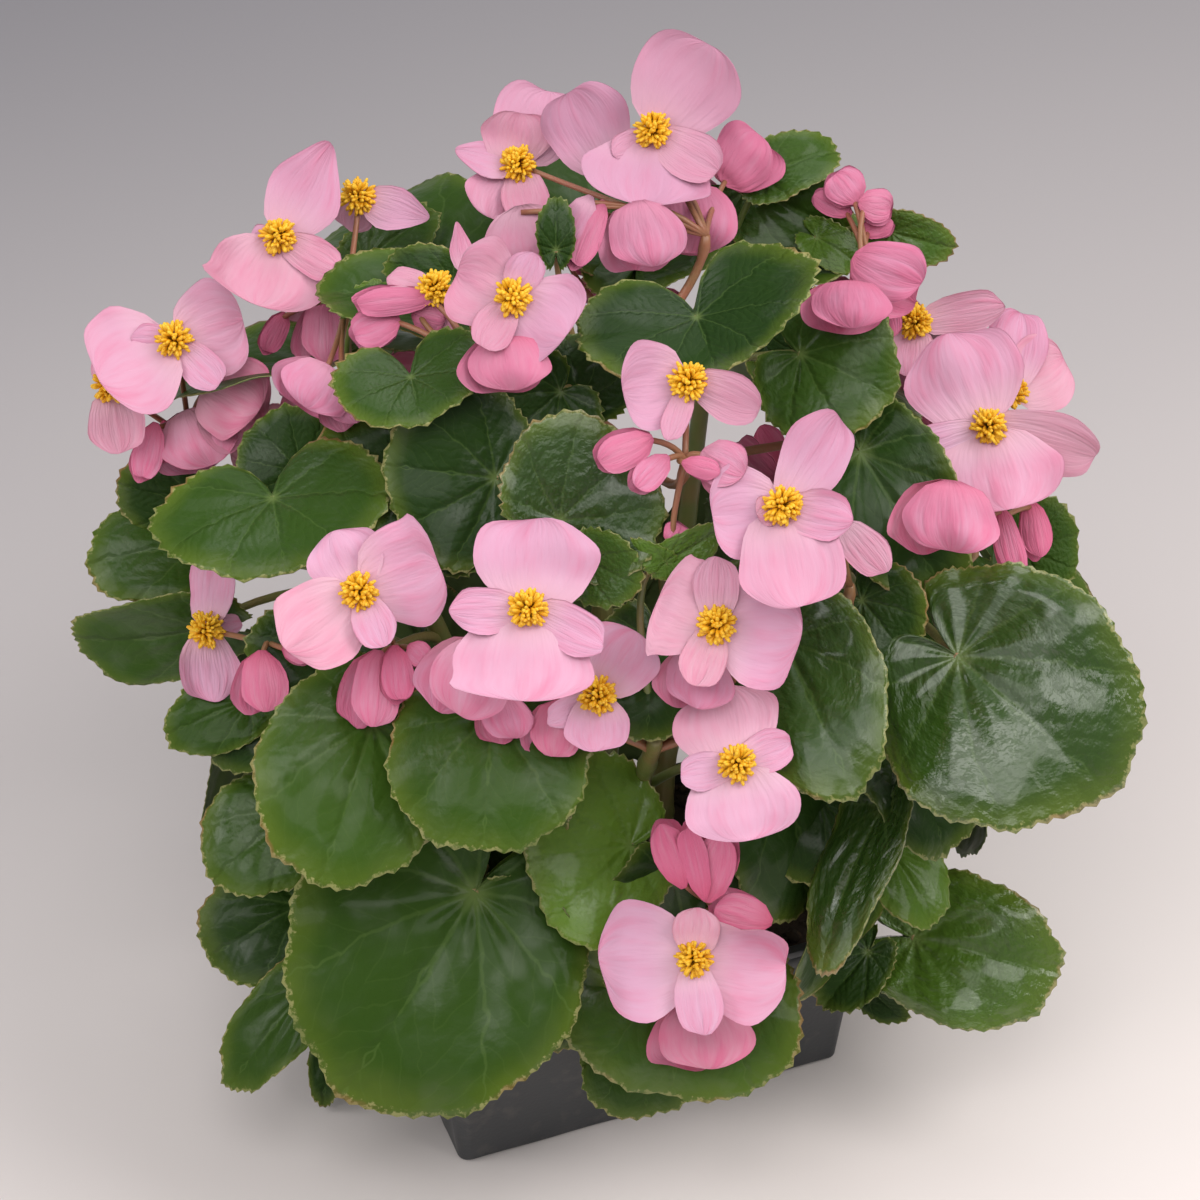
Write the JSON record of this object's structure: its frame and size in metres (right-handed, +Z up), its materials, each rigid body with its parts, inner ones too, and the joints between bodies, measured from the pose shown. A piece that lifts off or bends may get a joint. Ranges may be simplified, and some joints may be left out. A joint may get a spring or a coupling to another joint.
{
  "type": "potted wax begonia",
  "caption": "Bushy bedding begonia in full pink flower, with round glossy leaves, standing in a small oblong dark nursery pot.",
  "frame": {"origin": "middle of the pot's underside, on the surface that it stands on", "axes": "+Z up, X along the pot's long side, -Y towards the pot's front face"},
  "size_m": [0.2816, 0.2781, 0.3129],
  "materials": {
    "pot_plastic": "satin charcoal thermoformed sheet, faint upright ribs",
    "soil": "damp dark peat mix with fibres and a few pale grains",
    "stem": "succulent green stem flushed reddish brown",
    "leaf": "waxy mid to dark green, paler toothed edge, sunken veins, glossy",
    "petal": "soft pale pink, whiter at the middle, fine radial streaks, slight sheen",
    "stamen": "golden yellow anthers, matt and powdery, for the finer model's stamens"
  },
  "bodies": {
    "root": {"pot": "pot_plastic", "soil": "soil", "stem_front_left": "stem", "stem_back_left": "stem", "stem_front": "stem", "stem_middle": "stem", "stem_right": "stem", "stem_back_right": "stem", "stem_back": "stem", "flowers_top": "petal", "flowers_upper_left": "petal", "flowers_left": "petal", "flowers_middle_left": "petal", "flowers_upper_right": "petal", "flowers_right": "petal", "flowers_centre": "petal", "flowers_centre_right": "petal", "flowers_middle": "petal", "flowers_front": "petal", "flowers_front_left": "petal", "flowers_left_edge": "petal", "flowers_bottom": "petal", "flowers_far_right": "petal", "flowers_far_back": "petal", "flowers_far_left": "petal", "flowers_far_low": "petal", "leaf_front_low_left": "leaf", "leaf_front_left": "leaf", "leaf_front_middle": "leaf", "leaf_front_right": "leaf", "leaf_bottom": "leaf", "leaf_bottom_under": "leaf", "leaf_right_large": "leaf", "leaf_right_low": "leaf", "leaf_right_middle": "leaf", "leaf_right_folded": "leaf", "leaf_top_middle": "leaf", "leaf_top_right": "leaf", "leaf_upper_left": "leaf", "leaf_left_shoulder": "leaf", "leaf_left_low_edge": "leaf", "leaf_left_tip": "leaf", "leaf_centre_glossy": "leaf", "leaf_centre_dark": "leaf", "leaf_centre_left": "leaf", "leaf_right_dark": "leaf", "leaf_crown_right": "leaf", "leaf_crown_left": "leaf", "leaf_left_flank": "leaf", "leaf_left_foot": "leaf", "leaf_left_nook": "leaf", "leaf_far_low_1": "leaf", "leaf_far_low_2": "leaf", "leaf_far_low_3": "leaf", "leaf_far_low_4": "leaf", "leaf_far_low_5": "leaf", "leaf_far_high_1": "leaf", "leaf_far_high_2": "leaf", "leaf_far_high_3": "leaf", "leaf_far_high_4": "leaf"}
  },
  "joints": []
}
